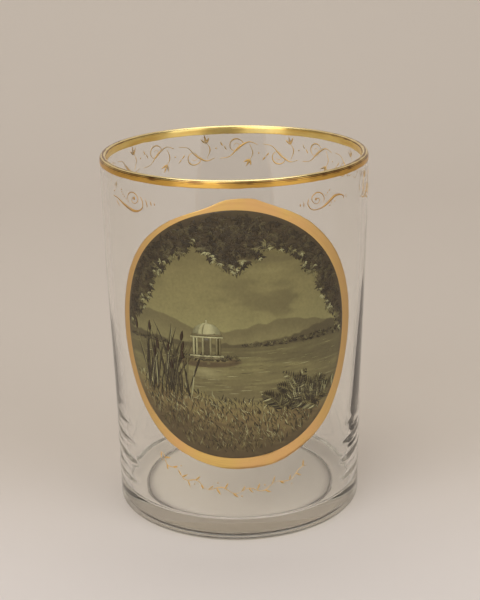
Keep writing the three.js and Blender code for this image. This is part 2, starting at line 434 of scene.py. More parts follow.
class Tree:
    """The nodes of a material or of the world, with a short way to add each kind used here. What goes
    into a node is an output of another, or a plain number, vector or colour."""

    def __init__(self, owner):
        owner.use_nodes = True
        self.nodes = owner.node_tree.nodes
        self.links = owner.node_tree.links

    def feed(self, socket, value):
        """Links an output to a socket, or sets the socket's own value, a colour with full cover"""
        if isinstance(value, bpy.types.NodeSocket):
            self.links.new(value, socket)
        elif socket.type == "RGBA":
            socket.default_value = (*value, 1.0)
        else:
            socket.default_value = value

    def set(self, node, inputs):
        """Feeds several inputs of a node, by name or by number"""
        for name, value in inputs.items():
            self.feed(node.inputs[name], value)
        return node

    def add(self, kind, inputs, **settings):
        """A node with its settings and its inputs"""
        node = self.nodes.new(kind)
        for name, value in settings.items():
            setattr(node, name, value)
        return self.set(node, inputs)

    def place(self, kind="Object"):
        """Object coordinates in metres, or another kind of texture coordinates"""
        return self.add("ShaderNodeTexCoord", {}).outputs[kind]

    def coordinate(self, axis, kind="Object"):
        """One of those coordinates"""
        return self.add("ShaderNodeSeparateXYZ", {"Vector": self.place(kind)}).outputs[axis]

    def attribute(self, name, output):
        """What the points of the mesh keep under a name"""
        return self.add("ShaderNodeAttribute", {}, attribute_name=name).outputs[output]

    def noise(self, scale, detail, stretch=(1, 1, 1)):
        """Noise on Object coordinates, stretched by a Mapping node"""
        mapping = self.add("ShaderNodeMapping", {"Vector": self.place(), "Scale": stretch})
        return self.noise_at(mapping.outputs["Vector"], scale, detail)

    def noise_at(self, vector, scale, detail):
        """Noise on any coordinates"""
        inputs = {"Vector": vector, "Scale": scale, "Detail": detail}
        return self.add("ShaderNodeTexNoise", inputs).outputs["Fac"]

    def combine(self, operation, first, second):
        """One step of arithmetic"""
        step = self.add("ShaderNodeMath", {0: first, 1: second}, operation=operation)
        return step.outputs["Value"]

    def vector(self, operation, first, second):
        """One step of arithmetic on two vectors"""
        step = self.add("ShaderNodeVectorMath", {0: first, 1: second}, operation=operation)
        return step.outputs["Vector"]

    def remap(self, value, low, high, to_low=0.0, to_high=1.0, easing="LINEAR"):
        """A value taken from one range to another and held inside it"""
        inputs = {"Value": value, "From Min": low, "From Max": high, "To Min": to_low, "To Max": to_high}
        return self.add("ShaderNodeMapRange", inputs, interpolation_type=easing).outputs["Result"]

    def blend(self, factor, first, second):
        """Mixes two colours by a factor"""
        mix = self.add("ShaderNodeMix", {"Factor": factor}, data_type="RGBA")
        sockets = [socket for socket in mix.inputs if socket.type == "RGBA"]
        for socket, value in zip(sockets, (first, second)):
            self.feed(socket, value)
        return next(socket for socket in mix.outputs if socket.type == "RGBA")

    def either(self, factor, first, second):
        """Mixes two shaders by a factor"""
        return self.add("ShaderNodeMixShader", {0: factor, 1: first, 2: second}).outputs["Shader"]

    def bump(self, height, distance, strength):
        """Small relief from a height pattern"""
        inputs = {"Strength": strength, "Distance": distance, "Height": height}
        return self.add("ShaderNodeBump", inputs).outputs["Normal"]


def new_material(name, constants):
    """An empty node material with its nodes and its main shader, whose plain values are set"""
    material = bpy.data.materials.new(name)
    tree = Tree(material)
    return material, tree, tree.set(tree.nodes["Principled BSDF"], constants)


def glass_material():
    """Clear glass. Shadow rays pass through with a tint, less at the punt's edge, whose curve throws
    the light aside. Thick glass takes a warm grey cast."""
    glass = bpy.context.scene.beaker_glass
    constants = {"Roughness": 0.0, "IOR": 1.51, "Transmission Weight": 1.0}
    material, tree, shader = new_material("clear_glass", constants)
    flat = tree.vector("MULTIPLY", tree.place(), (1, 1, 0))
    radius = tree.add("ShaderNodeVectorMath", {0: flat}, operation="LENGTH").outputs["Value"]
    height = tree.coordinate("Z")
    punt_radius = glass.foot_radius - glass.heel_radius - glass.punt_to_heel
    inwards = tree.combine("SUBTRACT", punt_radius, radius)
    in_punt = tree.remap(inwards, -0.2 * MM, 0.1 * MM)
    underside = tree.remap(height, 0.8 * MM, 1.0 * MM, 1.0, 0.0)
    floor_down = tree.remap(height, 6.0 * MM, 6.4 * MM, 1.0, 0.0)

    # A painted shade: the thin dark line at the hollow's edge is laid into the glass's own colour, standing
    # in for the dark that the edge's steep curve throws
    off_edge = tree.combine("ABSOLUTE", tree.combine("SUBTRACT", inwards, 0.15 * MM), 0)
    at_edge = tree.remap(off_edge, 0.25 * MM, 0.5 * MM, 1.0, 0.0)
    ground = tree.combine("MULTIPLY", underside, at_edge)
    tree.feed(shader.inputs["Base Color"], tree.blend(ground, glass.tint, glass.painted_edge_shade))

    # The light that each face lets through, in the hollow, on the standing ring and above them
    near_edge = tree.remap(inwards, 0.3 * MM, 4 * MM, 1.0, 0.0, "SMOOTHERSTEP")
    edge = tree.combine("POWER", tree.combine("MULTIPLY", in_punt, near_edge), 3)
    punt_shade = tree.blend(edge, glass.under_shade, glass.ring_shade)
    below = tree.blend(in_punt, glass.shade, punt_shade)
    on_floor = tree.combine("MULTIPLY", in_punt, floor_down)
    above = tree.blend(on_floor, glass.shade, glass.under_shade)
    clear = tree.add("ShaderNodeBsdfTransparent", {"Color": tree.blend(underside, above, below)})
    path = tree.add("ShaderNodeLightPath", {})
    surface = tree.either(path.outputs["Is Shadow Ray"], shader.outputs["BSDF"], clear.outputs["BSDF"])
    depth = tree.add("ShaderNodeVolumeAbsorption", {"Color": glass.cast, "Density": glass.cast_density})
    tree.set(tree.nodes["Material Output"], {"Surface": surface, "Volume": depth.outputs["Volume"]})
    return material


def burnished_material():
    """Burnished gold on the lip: palest and smoothest on its round top, where the pale colour is a painted
    highlight, and darker outside, a painted shade that dims that band's highlights. It is darkened brown in
    broken lines, two along its outer shoulder and two at the sides, where they are painted shade."""
    gilding = bpy.context.scene.beaker_gilding
    constants = {"Metallic": 0.85, "Anisotropic": 1.0, "Anisotropic Rotation": 0.25}
    material, tree, shader = new_material("burnished_gold", constants)
    around = tree.add("ShaderNodeTangent", {}, direction_type="RADIAL", axis="Z")
    across = tree.attribute("across", "Fac")
    off_crest = tree.combine("ABSOLUTE", across, 0)
    aside = tree.combine("ABSOLUTE", tree.coordinate("X"), 0)
    shaded_sides = tree.remap(aside, 22 * MM, 31 * MM)
    streaks = tree.noise(90, 3, (1, 1, 9))
    broken = tree.noise(260, 2)

    tone = tree.blend(tree.remap(streaks, 0.35, 0.7), gilding.burnished, gilding.burnished_thin)
    # Painted shade: the band outside is darkened to dim its highlights
    tone = tree.blend(tree.remap(across, 0.98, 1.08), tone, gilding.shaded_outside_gold)
    # Painted highlight: the round top is paled towards the crest colour, where the lights catch it
    tone = tree.blend(tree.remap(off_crest, 0.6, 0.95, 1.0, 0.0), tone, gilding.crest)
    # Each dark line: its place across the band, its least and greatest half width, and its cover. The two
    # on the outer shoulder are dark brown lines; the two at the sides are painted shade, where the lip
    # turns away from the lights.
    dark_lines = (
        (1.08, 0.03, 0.12, 1),
        (0.88, 0.08, 0.18, 1),
        (0.1, 0.2, 0.7, shaded_sides),
        (-0.9, 0.1, 0.25, shaded_sides),
    )
    for line, thinnest, widest, cover in dark_lines:
        off_line = tree.combine("ABSOLUTE", tree.combine("SUBTRACT", across, line), 0)
        width = tree.remap(broken, 0.35, 0.75, thinnest, widest)
        darkened = tree.remap(tree.combine("DIVIDE", off_line, width), 0.5, 1.0, 1.0, 0.0)
        tone = tree.blend(tree.combine("MULTIPLY", darkened, cover), tone, gilding.worn)

    roughness = tree.remap(streaks, 0.3, 0.7, 0.3, 0.36)
    off_top = tree.remap(off_crest, 0.85, 1.0, 0.45, 1.0)
    inputs = {
        "Base Color": tone,
        "Roughness": tree.combine("MULTIPLY", roughness, off_top),
        "Normal": tree.bump(tree.noise(900, 2, (1, 1, 3)), 0.004 * MM, 0.6),
        "Tangent": around.outputs["Tangent"],
    }
    tree.set(shader, inputs)
    return material


def satin_material():
    """Satin gold laid with a wide brush: faint streaks that follow the band, duller where the brush left
    less, and painted shade that darkens the oval's two sides
    """
    gilding = bpy.context.scene.beaker_gilding
    material, tree, shader = new_material("satin_gold", {"Metallic": 0.85})
    slow = tree.vector("MULTIPLY", tree.place(), (60, 60, 60))
    sideways = tree.combine("MULTIPLY", tree.attribute("across", "Fac"), 6)
    beside = tree.add("ShaderNodeCombineXYZ", {"X": sideways})
    streak = tree.noise_at(tree.vector("ADD", slow, beside.outputs["Vector"]), 1.0, 3)
    aside = tree.combine("ABSOLUTE", tree.coordinate("X"), 0)
    patches = tree.remap(tree.noise(75, 2), 0.42, 0.62, 0.0, 0.8)
    tone = tree.blend(tree.remap(streak, 0.35, 0.75), gilding.satin, gilding.satin_shade)
    tone = tree.blend(patches, tone, gilding.satin_warm)
    # Painted shade: the gold is darkened towards the oval's two sides, where it turns away from the lights
    tone = tree.blend(tree.remap(aside, 13 * MM, 29 * MM, 0.0, 0.9), tone, gilding.satin_side_shade)
    roughness = tree.remap(streak, 0.3, 0.7, 0.38, 0.5)
    relief = tree.bump(streak, 0.008 * MM, 0.5)
    tree.set(shader, {"Base Color": tone, "Roughness": roughness, "Normal": relief})
    return material


def pen_material(name, gold, thin):
    """Thin gold drawn with a pen and worn pale in places. It is made once for each name."""
    if name in bpy.data.materials:
        return bpy.data.materials[name]
    material, tree, shader = new_material(name, {"Metallic": 0.5, "Roughness": 0.42})
    worn = tree.remap(tree.noise(420, 3), 0.48, 0.66)
    tree.feed(shader.inputs["Base Color"], tree.blend(worn, gold, thin))
    return material


def enamel_material():
    """Glossy enamel in the colours of its points, slightly mottled, with a faint orange-peel relief"""
    constants = {"Roughness": 0.34, "Specular IOR Level": 0.35}
    material, tree, shader = new_material("painted_enamel", constants)
    grain = tree.noise(1400, 4)
    mottle = tree.noise(160, 4)
    lighter = tree.combine(
        "MULTIPLY", tree.remap(grain, 0.2, 0.8, 0.88, 1.12), tree.remap(mottle, 0.2, 0.8, 0.9, 1.1)
    )
    inputs = {0: tree.attribute("paint", "Color"), "Scale": lighter}
    tone = tree.add("ShaderNodeVectorMath", inputs, operation="SCALE").outputs["Vector"]
    tree.set(shader, {"Base Color": tone, "Normal": tree.bump(mottle, 0.02 * MM, 0.3)})
    return material


def stage_material():
    """Plain paper, paler on the table than on the backdrop, whose darker colour is painted shade where less
    light reaches the sweep's upright part
    """
    stage = bpy.context.scene.beaker_stage
    constants = {"Roughness": 0.9, "Specular IOR Level": 0.1}
    material, tree, shader = new_material("plain_paper", constants)
    back = tree.remap(tree.coordinate("Y"), -0.07, 0.045, easing="SMOOTHSTEP")
    tree.feed(shader.inputs["Base Color"], tree.blend(back, stage.table, stage.backdrop))
    return material


# Pieces

# Shares of the way across a flat face that keep it apart from the roundings beside it
FLAT_SHARES = np.array([0.02, 0.5, 0.98])


class BEAKER_OT_glass(bpy.types.Operator):
    """Adds the glass: the punt, the standing ring, the heel, the wall, the lip and the thick floor"""

    bl_idname = "beaker.glass"
    bl_label = "Glass"

    def execute(self, context):
        glass = context.scene.beaker_glass
        lip_base, lip_middle, half_wall = lip_section()
        corner, heel = glass.corner_radius, glass.heel_radius
        edge, depth = glass.punt_edge, glass.punt_depth
        corner_top = glass.floor_thickness + corner
        corner_middle = inner_radius(corner_top) - corner
        heel_middle = glass.foot_radius - heel
        punt_radius = heel_middle - glass.punt_to_heel
        punt_share = np.sqrt(np.linspace(0, 1, 14))
        punt_height = depth + glass.punt_dome * (1 - punt_share**2)
        floor_share = np.array([0.99, 0.96, 0.8, 0.5, 0.2, 0])
        floor_height = np.full(len(floor_share), glass.floor_thickness)
        quarter = np.pi / 2
        lines = {
            "punt": np.column_stack([(punt_radius - edge) * punt_share, punt_height]),
            "edge": arc(punt_radius - edge, 0, edge, depth, quarter, 0, 8)[1:],
            "ring": np.column_stack([punt_radius + glass.punt_to_heel * FLAT_SHARES, 0 * FLAT_SHARES]),
            "heel": arc(heel_middle, heel, heel, heel, -quarter, 0, 14),
            "outside": wall_line(outer_radius, heel, lip_base, 110),
            "lip": arc(lip_middle, lip_base, half_wall, glass.lip_height, 0, np.pi, 18),
            "inside": wall_line(inner_radius, corner_top, lip_base, 110)[::-1],
            "corner": arc(corner_middle, corner_top, corner, corner, 0, -quarter, 14),
            "floor": np.column_stack([corner_middle * floor_share, floor_height]),
        }
        line_of_row = np.repeat(list(lines), [len(line) for line in lines.values()])[1:-1, None]
        inner_rows = line_of_row == "inside"
        wall_rows = inner_rows | (line_of_row == "outside")

        def hand_blown(angle, rows):
            """Rings that the tool left low on both faces of the wall, as a sine of the height with a
            wandering phase, one upright fold in the inner face, and that face's slow unevenness, which
            is the sum of two slanting sines"""
            height = rows[:, 1:]
            # The rings are deepest 17 mm up, and only at the two sides, in front of the middle
            phase = 1.6 * wander((3 * np.sin(angle) + 5, height / (9 * MM)), 1, 61)
            ring_way = 2 * np.pi * height / glass.ripple_spacing + phase
            fade = hump(height, 17 * MM, 9 * MM) * rise(height, corner_top, corner_top + 4 * MM)
            fade = fade * rise(np.abs(np.sin(angle)), 0.8, 0.94) * rise(np.cos(angle), -0.08, 0.1)
            ripple = glass.ripple_depth * fade * (np.sin(ring_way) + 0.35 * np.sin(2 * ring_way))
            # The fold stands in over 0.3 radians, is level again 0.9 radians on, and ends 85 mm up
            past_fold = angle - glass.fold_angle - glass.fold_slant * (height - 20 * MM)
            fold = glass.fold_depth * rise(past_fold, 0, 0.3) * rise(-past_fold, -0.9, -0.3)
            fold = fold * rise(height, 10 * MM, 20 * MM) * rise(-height, -85 * MM, -50 * MM)
            # The unevenness keeps away from the floor's corner and from the lip
            slow = np.sin(2 * angle + height / (17 * MM)) + np.sin(3 * angle - height / (29 * MM))
            settled = rise(height, corner_top, 30 * MM) * rise(-height, 12 * MM - glass.height, -6 * MM)
            uneven = glass.unevenness * slow / 2 * settled - fold
            return ripple * wall_rows + uneven * inner_rows

        points, faces = turned(np.vstack(list(lines.values())), 288, hand_blown)
        new_piece("beaker_glass", points, faces, glass_material(), "glass_body")
        return {"FINISHED"}


class BEAKER_OT_lip_gilding(bpy.types.Operator):
    """Adds the gold band over the lip, with hand-brushed lower edges"""

    bl_idname = "beaker.lip_gilding"
    bl_label = "Lip gilding"

    def execute(self, context):
        glass = context.scene.beaker_glass
        gilding = context.scene.beaker_gilding
        angle = all_round(360)
        lip_base, middle, half_wall = lip_section()
        low_out = glass.height - gilding.lip_outside + gilding.edge_wander * ring_wander(angle, 9, 3)
        low_in = glass.height - gilding.lip_inside + gilding.edge_wander * ring_wander(angle, 9, 11)

        def layer(lift):
            """Radius and height of one face of the band, from its outer edge over the lip to its inner
            edge, lift off the glass"""
            share = np.linspace(0, 1, 10)[:, None]
            height_out = low_out + (lip_base - low_out) * share[:-1]
            height_in = lip_base + (low_in - lip_base) * share[1:]
            over = np.linspace(0, np.pi, 17)[:, None] + 0 * angle
            radius_over = middle + (half_wall + lift) * np.cos(over)
            height_over = lip_base + (glass.lip_height + lift) * np.sin(over)
            radius = [outer_radius(height_out) + lift, radius_over, inner_radius(height_in) - lift]
            return np.vstack(radius), np.vstack([height_out, height_over, height_in])

        near_radius, near_height = layer(gilding.clearance)
        far_radius, far_height = layer(gilding.clearance + gilding.thickness)
        radius = np.vstack([far_radius, near_radius[::-1]])
        height = np.vstack([far_height, near_height[::-1]])
        points = about_axis(radius, angle, height)
        faces = [grid_faces(*radius.shape, True, True)]
        piece = new_piece("lip_gilding", points, faces, burnished_material(), "rim_gilding")
        # 0 on the crest, 1 and -1 at the wall's outer and inner face, and a millimetre for each 1 below
        from_middle = (radius - middle) / half_wall
        below = np.maximum(0, lip_base - height) / MM
        add_numbers(piece, "across", np.where(below > 0, np.sign(from_middle) * (1 + below), from_middle))
        return {"FINISHED"}


def picture_middle():
    """The place of the opening's middle"""
    picture = bpy.context.scene.beaker_picture
    return np.array([picture.middle_along, picture.middle_height])


def squareness(rightwards, lower):
    """The opening's squareness, blended from its corners by the shares of the way right and down"""
    picture = bpy.context.scene.beaker_picture
    left, low_left = picture.squareness_left, picture.squareness_low_left
    above = left + (picture.squareness_right - left) * rightwards
    below = low_left + (picture.squareness_low_right - low_left) * rightwards
    return above + (below - above) * lower


def opening_edge(angle, beyond):
    """The edge of the frame's opening, or a line beyond it: a rounded oval whose cosine and sine are
    raised to two over its squareness, which is lowest in the upper right"""
    picture = bpy.context.scene.beaker_picture
    cosine, sine = np.cos(angle), np.sin(angle)
    power = 2 / squareness((1 + cosine) / 2, (1 - sine) / 2)
    along = (picture.half_width + beyond) * np.sign(cosine) * np.abs(cosine) ** power
    height = (picture.half_height + beyond) * np.sign(sine) * np.abs(sine) ** power
    return picture_middle() + np.stack([along, height], -1)


# The frame's width in millimetres, by degrees from the opening's right side up and over its top
FRAME_WIDTHS = {
    0: 3.5, 20: 3.2, 45: 2.9, 60: 2.8, 70: 2.5, 78: 3.0, 82: 3.4, 93: 2.9, 101: 1.5, 107: 1.1,
    118: 1.3, 135: 1.7, 155: 2.0, 170: 2.3, 185: 2.6, 205: 2.4, 220: 2.6, 235: 3.0, 250: 2.8,
    265: 3.2, 285: 3.5, 300: 3.2, 315: 3.6, 330: 3.3, 345: 3.2,
}


class BEAKER_OT_picture_frame(bpy.types.Operator):
    """Adds the gold oval around the picture, wider and narrower as the brush went"""

    bl_idname = "beaker.picture_frame"
    bl_label = "Picture frame"

    def execute(self, context):
        gilding = context.scene.beaker_gilding
        finish = satin_material()
        angle = all_round(720)
        opening = opening_edge(angle, 0)
        outward = -left_of(unit(np.roll(opening, -1, 0) - np.roll(opening, 1, 0)))
        edge_in = opening + outward * 0.07 * MM * ring_wander(angle, 7, 21)[:, None]
        edge_out = opening + outward * self.width(angle)[:, None]
        share = np.concatenate([[0, 0.04], np.linspace(0.14, 0.86, 7), [0.96, 1]])
        crown = 1 - np.abs(2 * share - 1) ** 6
        top = edge_in[:, None] + (edge_out - edge_in)[:, None] * share[:, None]
        under = edge_out[:, None] + (edge_in - edge_out)[:, None] * FLAT_SHARES[:, None]
        lift = gilding.clearance + gilding.thickness * (0.2 + 0.8 * crown)
        lifts = np.concatenate([lift, np.full(len(FLAT_SHARES), gilding.clearance)])
        points = on_wall(np.concatenate([top, under], 1), lifts)
        faces = [grid_faces(len(angle), len(lifts), True, True)]
        piece = new_piece("picture_frame", points, faces, finish, "medallion_frame")
        across = np.concatenate([share, [1.0, 0.5, 0.0]])
        add_numbers(piece, "across", np.broadcast_to(across, points.shape[:2]))
        self.add_brushwork(gilding, finish, edge_in, edge_out)
        return {"FINISHED"}

    def width(self, angle):
        """The width around the opening: straight lines between the known ones, smoothed over five
        degrees, and a little unevenness"""
        known = np.array(list(FRAME_WIDTHS.items())).T
        near = [np.interp(np.degrees(angle) + offset, *known, period=360) for offset in range(-2, 3)]
        uneven = 0.09 * MM * ring_wander(angle, 12, 5) + 0.05 * MM * ring_wander(angle, 30, 8)
        return sum(near) / len(near) * MM + uneven

    def add_brushwork(self, gilding, finish, edge_in, edge_out):
        """Long brush strokes on the band, end over end. Each keeps its own share of the way across, and
        its half width is a sine with blunt ends."""
        random = np.random.default_rng(19)
        count, stations = 26, 40
        around = len(edge_in)
        first = np.sort(random.uniform(0, around, count))
        reach = random.uniform(0.05, 0.12, count) * around
        station = np.linspace(0, 1, stations)[None, :]
        index = (first[:, None] + reach[:, None] * station).astype(int) % around
        share = random.uniform(0.28, 0.72, (count, 1)) + 0.06 * np.sin(np.pi * station)
        inner, outer = edge_in[index], edge_out[index]
        paths = inner + (outer - inner) * share[..., None]
        room = np.linalg.norm(outer - inner, axis=-1) * np.minimum(share, 1 - share)
        blunt = np.sin(np.pi * (0.06 + 0.88 * station)) ** 0.35
        half_widths = room * random.uniform(0.6, 0.9, (count, 1)) * blunt
        lift = gilding.clearance + 0.6 * gilding.thickness
        points, faces = strokes(paths, half_widths, lift, 0.45 * gilding.thickness)
        piece = new_piece("frame_brushwork", points, [faces], finish)
        # A number of its own for each stroke, so that the streaks of no two run on
        add_numbers(piece, "across", np.repeat(np.arange(count) * 0.37, stations * 4))


# The picture. Places are (along the wall, up) from the picture's middle, in millimetres.

TOP_SHADE = (72, 61, 43)
HIGH_SKY = (114, 104, 67)
SKY = (131, 122, 79)
LOW_SKY = (144, 137, 90)
CLOUD = (106, 97, 64)
FAR_HILL = (114, 105, 70)
NEAR_HILL = (90, 81, 55)
LAKE = (130, 122, 79)
NEAR_LAKE = (112, 102, 68)
LIT_BANK = (136, 124, 80)
BANK = (126, 108, 70)
DARK_BANK = (92, 78, 53)
LEAF_DARK = (62, 53, 38)
LEAF = (88, 79, 54)
LEAF_LIT = (124, 116, 78)
LEAF_PALE = (172, 167, 122)
STONE = (176, 170, 126)
STONE_SHADE = (118, 108, 74)
REED_HEAD = (62, 47, 32)
UNDER_COAT = (88, 76, 54)
SHORE = -2.4
ISLAND = np.array([-7.5, -6.6])
# How thick a brush stroke on the enamel is, and how far the lowest ones are sunk into it
STROKE_THICKNESS = 0.03
STROKE_SINK = 0.01


def half_size():
    """Half the picture's width and height"""
    picture = bpy.context.scene.beaker_picture
    return np.array([picture.half_width, picture.half_height]) / MM


def edge_distance(x, y):
    """Roughly how far a place lies inside the picture's edge: the short half size times one less the
    place's share of the way to the edge"""
    half_width, half_height = half_size()
    across, up = x / half_width, y / half_height
    power = squareness((1 + across) / 2, (1 - up) / 2)
    share = np.abs(across) ** power + np.abs(up) ** power
    return half_width * (1 - share ** (1 / power))


def garland_depth(x, y):
    """How far a place lies inside the leaf garland: above three hanging swags, each half a sine wave
    long, or near the edge beside the tails at both ends"""
    swag = 27 - 7.5 * np.abs(np.sin(np.pi * (x + 33) / 22))
    tail = 6.5 * rise(y, -6, 12) - edge_distance(x, y)
    return np.maximum(y - swag, tail) + 1.3 * wander((x, y), 2.2, 31)


def crest(x, base, tilt, humps, roughness, size, seed):
    """The crest of a hill or a bank: a tilted line, smooth humps of a height, a middle and a half
    width, and a little roughness"""
    line = base + tilt * x + sum(height * hump(x, middle, width) for height, middle, width in humps)
    return line + roughness * wander((x, 0 * x), size, seed)


def bank_height(x):
    """The near bank's crest, which climbs to the left"""
    return crest(x, -17.5, -0.13, ((2.2, -21, 9), (2.4, 22, 7)), 0.5, 3.5, 17)


def laid(ground, *layers):
    """Paints colours one after another over what is there, each by a cover between 0 and 1"""
    ground = np.asarray(ground, float)
    for paint, cover in layers:
        ground = ground + (np.asarray(paint, float) - ground) * cover[..., None]
    return ground


def painted_ground(x, y):
    """The picture's soft underpainting, in screen values: sky, clouds, two ranges of hills, a calm
    lake with an island, the near bank and the shade behind the garland, each laid by an eased cover"""
    drift = wander((x, 3.1 * y), 11, 41) + 0.5 * wander((x, 3.1 * y), 4, 42)
    cloud_band = rise(y, 3, 8) * (0.35 + 0.65 * rise(x, -12, 14))
    far = crest(x, 1.2, 0, ((4.6, -24, 13), (3.4, 13, 12)), 0.5, 2.7, 43)
    near = crest(x, -1.4, 0, ((3.2, 27, 12), (1.1, -30, 9)), 0.35, 1.3, 44)
    ground = laid(
        LOW_SKY,
        (SKY, rise(y, -2, 13)),
        (HIGH_SKY, rise(y, 12, 27)),
        (CLOUD, 0.75 * rise(drift, 0.0, 0.75) * cloud_band),
        (LOW_SKY, 0.35 * rise(-drift, 0.25, 0.8) * cloud_band),
        (FAR_HILL, rise(far - y, -0.15, 0.2)),
        (LOW_SKY, 0.45 * rise(far - y, 1.2, 5) * (y > SHORE)),
        (NEAR_HILL, rise(near - y, -0.15, 0.2)),
    )
    streak = wander((x, 9 * y), 5, 45)
    mirrored = rise(2 * SHORE - y - near - 3, -1, 1)
    lake = laid(
        LAKE,
        (NEAR_LAKE, rise(SHORE - y, 0, 15)),
        (NEAR_HILL, 0.6 * (1 - mirrored)),
        (LOW_SKY, 0.4 * rise(streak, 0.1, 0.8)),
        (NEAR_HILL, 0.3 * rise(-streak, 0.2, 0.9)),
    )
    above = y - ISLAND[1]
    off_island = ((x - ISLAND[0]) / 8.6) ** 2 + (above / 1.5) ** 2
    temple_image = hump(x, ISLAND[0], 3.4) * rise(-above, 1.4, 2.6) * rise(above, -8, -2)
    below = bank_height(x) - y
    furrow = wander((x + 2 * y, 4 * y), 2.3, 46)
    bank = laid(
        LIT_BANK,
        (BANK, rise(below, 0.3, 4)),
        (DARK_BANK, rise(below, 4, 13)),
        (DARK_BANK, 0.55 * rise(furrow, 0.05, 0.8)),
        (LIT_BANK, 0.35 * rise(-furrow, 0.2, 0.9)),
    )
    inside = garland_depth(x, y)
    shade = wander((x, y), 4.5, 47)
    return laid(
        ground,
        (lake, rise(SHORE - y, 0, 0.25)),
        (DARK_BANK, rise(1.25 - off_island, 0, 0.4)),
        (LIT_BANK, 0.8 * rise(0.8 - off_island, 0, 0.5) * rise(above, -0.4, 0.5)),
        (STONE, 0.4 * temple_image * rise(streak, -0.6, 0.5)),
        (bank, rise(below, -0.1, 0.25)),
        (TOP_SHADE, rise(inside, -0.6, 2.2)),
        (LEAF, 0.35 * rise(inside, 0, 3) * rise(shade, 0.1, 0.9)),
        (DARK_BANK, 0.4 * rise(-edge_distance(x, y), -2.5, 0.5)),
    )


def painted(paths, half_widths, colours, up):
    """Brush strokes on the enamel, without those that run out of the picture. colours holds one screen
    colour per stroke, and up is how much higher than the lowest strokes they lie."""
    picture = bpy.context.scene.beaker_picture
    inside = (edge_distance(paths[..., 0], paths[..., 1]) > 0).all(axis=1)
    places = paths[inside] * MM + picture_middle()
    lift = picture.clearance + picture.thickness + (up - STROKE_SINK) * MM
    points, faces = strokes(places, half_widths[inside] * MM, lift, STROKE_THICKNESS * MM)
    each = np.repeat(np.asarray(colours, float)[inside], 4 * paths.shape[1], axis=0)
    return points, faces, each


def mixed(random, palette, count):
    """Screen colours drawn from a palette by their shares in it, each made a little lighter or darker"""
    shares = list(palette.values())
    picked = np.array(list(palette), float)[random.choice(len(palette), count, p=shares)]
    return picked * random.uniform(0.9, 1.1, (count, 1))


def leaf_fans(random, centres, headings, palette, up, leaves, reach, width, spread):
    """Painted fans of leaf dabs. Each fan spreads its leaves evenly on both sides of its heading, with
    a little chance in every angle, length and bend, and has one colour."""
    count = len(centres)
    offsets = np.linspace(-spread, spread, leaves)[None, :]
    directions = headings[:, None] + offsets + random.normal(0, 0.18, (count, leaves))
    lengths = reach * random.uniform(0.65, 1.2, (count, leaves))
    widths = width * random.uniform(0.75, 1.2, (count, leaves))
    bends = random.normal(0, 0.15, (count, leaves))
    places = np.repeat(centres, leaves, axis=0)
    paths, halves = dabs(places, directions.ravel(), lengths.ravel(), widths.ravel(), bends.ravel(), 4)
    return painted(paths, halves, np.repeat(mixed(random, palette, count), leaves, 0), up)


def scattered(random, count, keep):
    """Random places in the picture's rectangle for which keep is true, at most count of them out of
    twelve times as many"""
    places = random.uniform(-1, 1, (count * 12, 2)) * half_size()
    return places[keep(places[:, 0], places[:, 1])][:count]


def garland(random):
    """The leaf garland: dark fans inside, and lighter fans that hang from its ragged edge"""
    def within(x, y):
        """Inside the garland and clear of the picture's edge"""
        return (garland_depth(x, y) > 0.5) & (edge_distance(x, y) > 0.9)

    def on_edge(x, y):
        """On the garland's ragged edge and clear of the picture's"""
        depth = garland_depth(x, y)
        return (depth > -0.5) & (depth < 1.6) & (edge_distance(x, y) > 1.4)

    down = -np.pi / 2
    places = scattered(random, 640, within)
    headings = random.uniform(-np.pi, 0, len(places))
    palette = {LEAF_DARK: 0.45, TOP_SHADE: 0.3, LEAF: 0.25}
    dark = leaf_fans(random, places, headings, palette, 0, leaves=5, reach=1.5, width=0.5, spread=1.1)
    places = scattered(random, 330, on_edge)
    headings = down + random.normal(0, 0.7, len(places))
    palette = {LEAF_DARK: 0.5, LEAF: 0.32, LEAF_LIT: 0.18}
    fringe = leaf_fans(
        random, places, headings, palette, 0.012, leaves=6, reach=1.45, width=0.46, spread=1.25
    )
    places = scattered(random, 190, on_edge) - (0, 0.5)
    headings = down + random.normal(0, 0.6, len(places))
    palette = {LEAF_PALE: 0.6, LEAF_LIT: 0.4}
    pale = leaf_fans(
        random, places, headings, palette, 0.024, leaves=5, reach=0.95, width=0.23, spread=1.0
    )
    return [dark, fringe, pale]


def reeds(random):
    """Tall reeds on the left bank, each a long thin dab that leans, and their dark seed heads"""
    count, heads = 64, 9
    x = random.uniform(-26, -12, count)
    y = bank_height(x) - random.uniform(0.2, 5, count)
    directions = np.pi / 2 + random.normal(-0.03, 0.14, count)
    lengths = random.uniform(7, 17, count)
    bends = random.normal(0, 0.12, count)
    paths, halves = dabs(np.column_stack([x, y]), directions, lengths, 0.52, bends, 9)
    tones = mixed(random, {LEAF_DARK: 0.5, LEAF: 0.22, LEAF_LIT: 0.18, LEAF_PALE: 0.1}, count)
    blades = painted(paths, halves, tones, 0.01)
    paths, halves = dabs(paths[:heads, -1], directions[:heads], 3, 0.95, 0, 7)
    return [blades, painted(paths, halves, mixed(random, {REED_HEAD: 1}, heads), 0.03)]


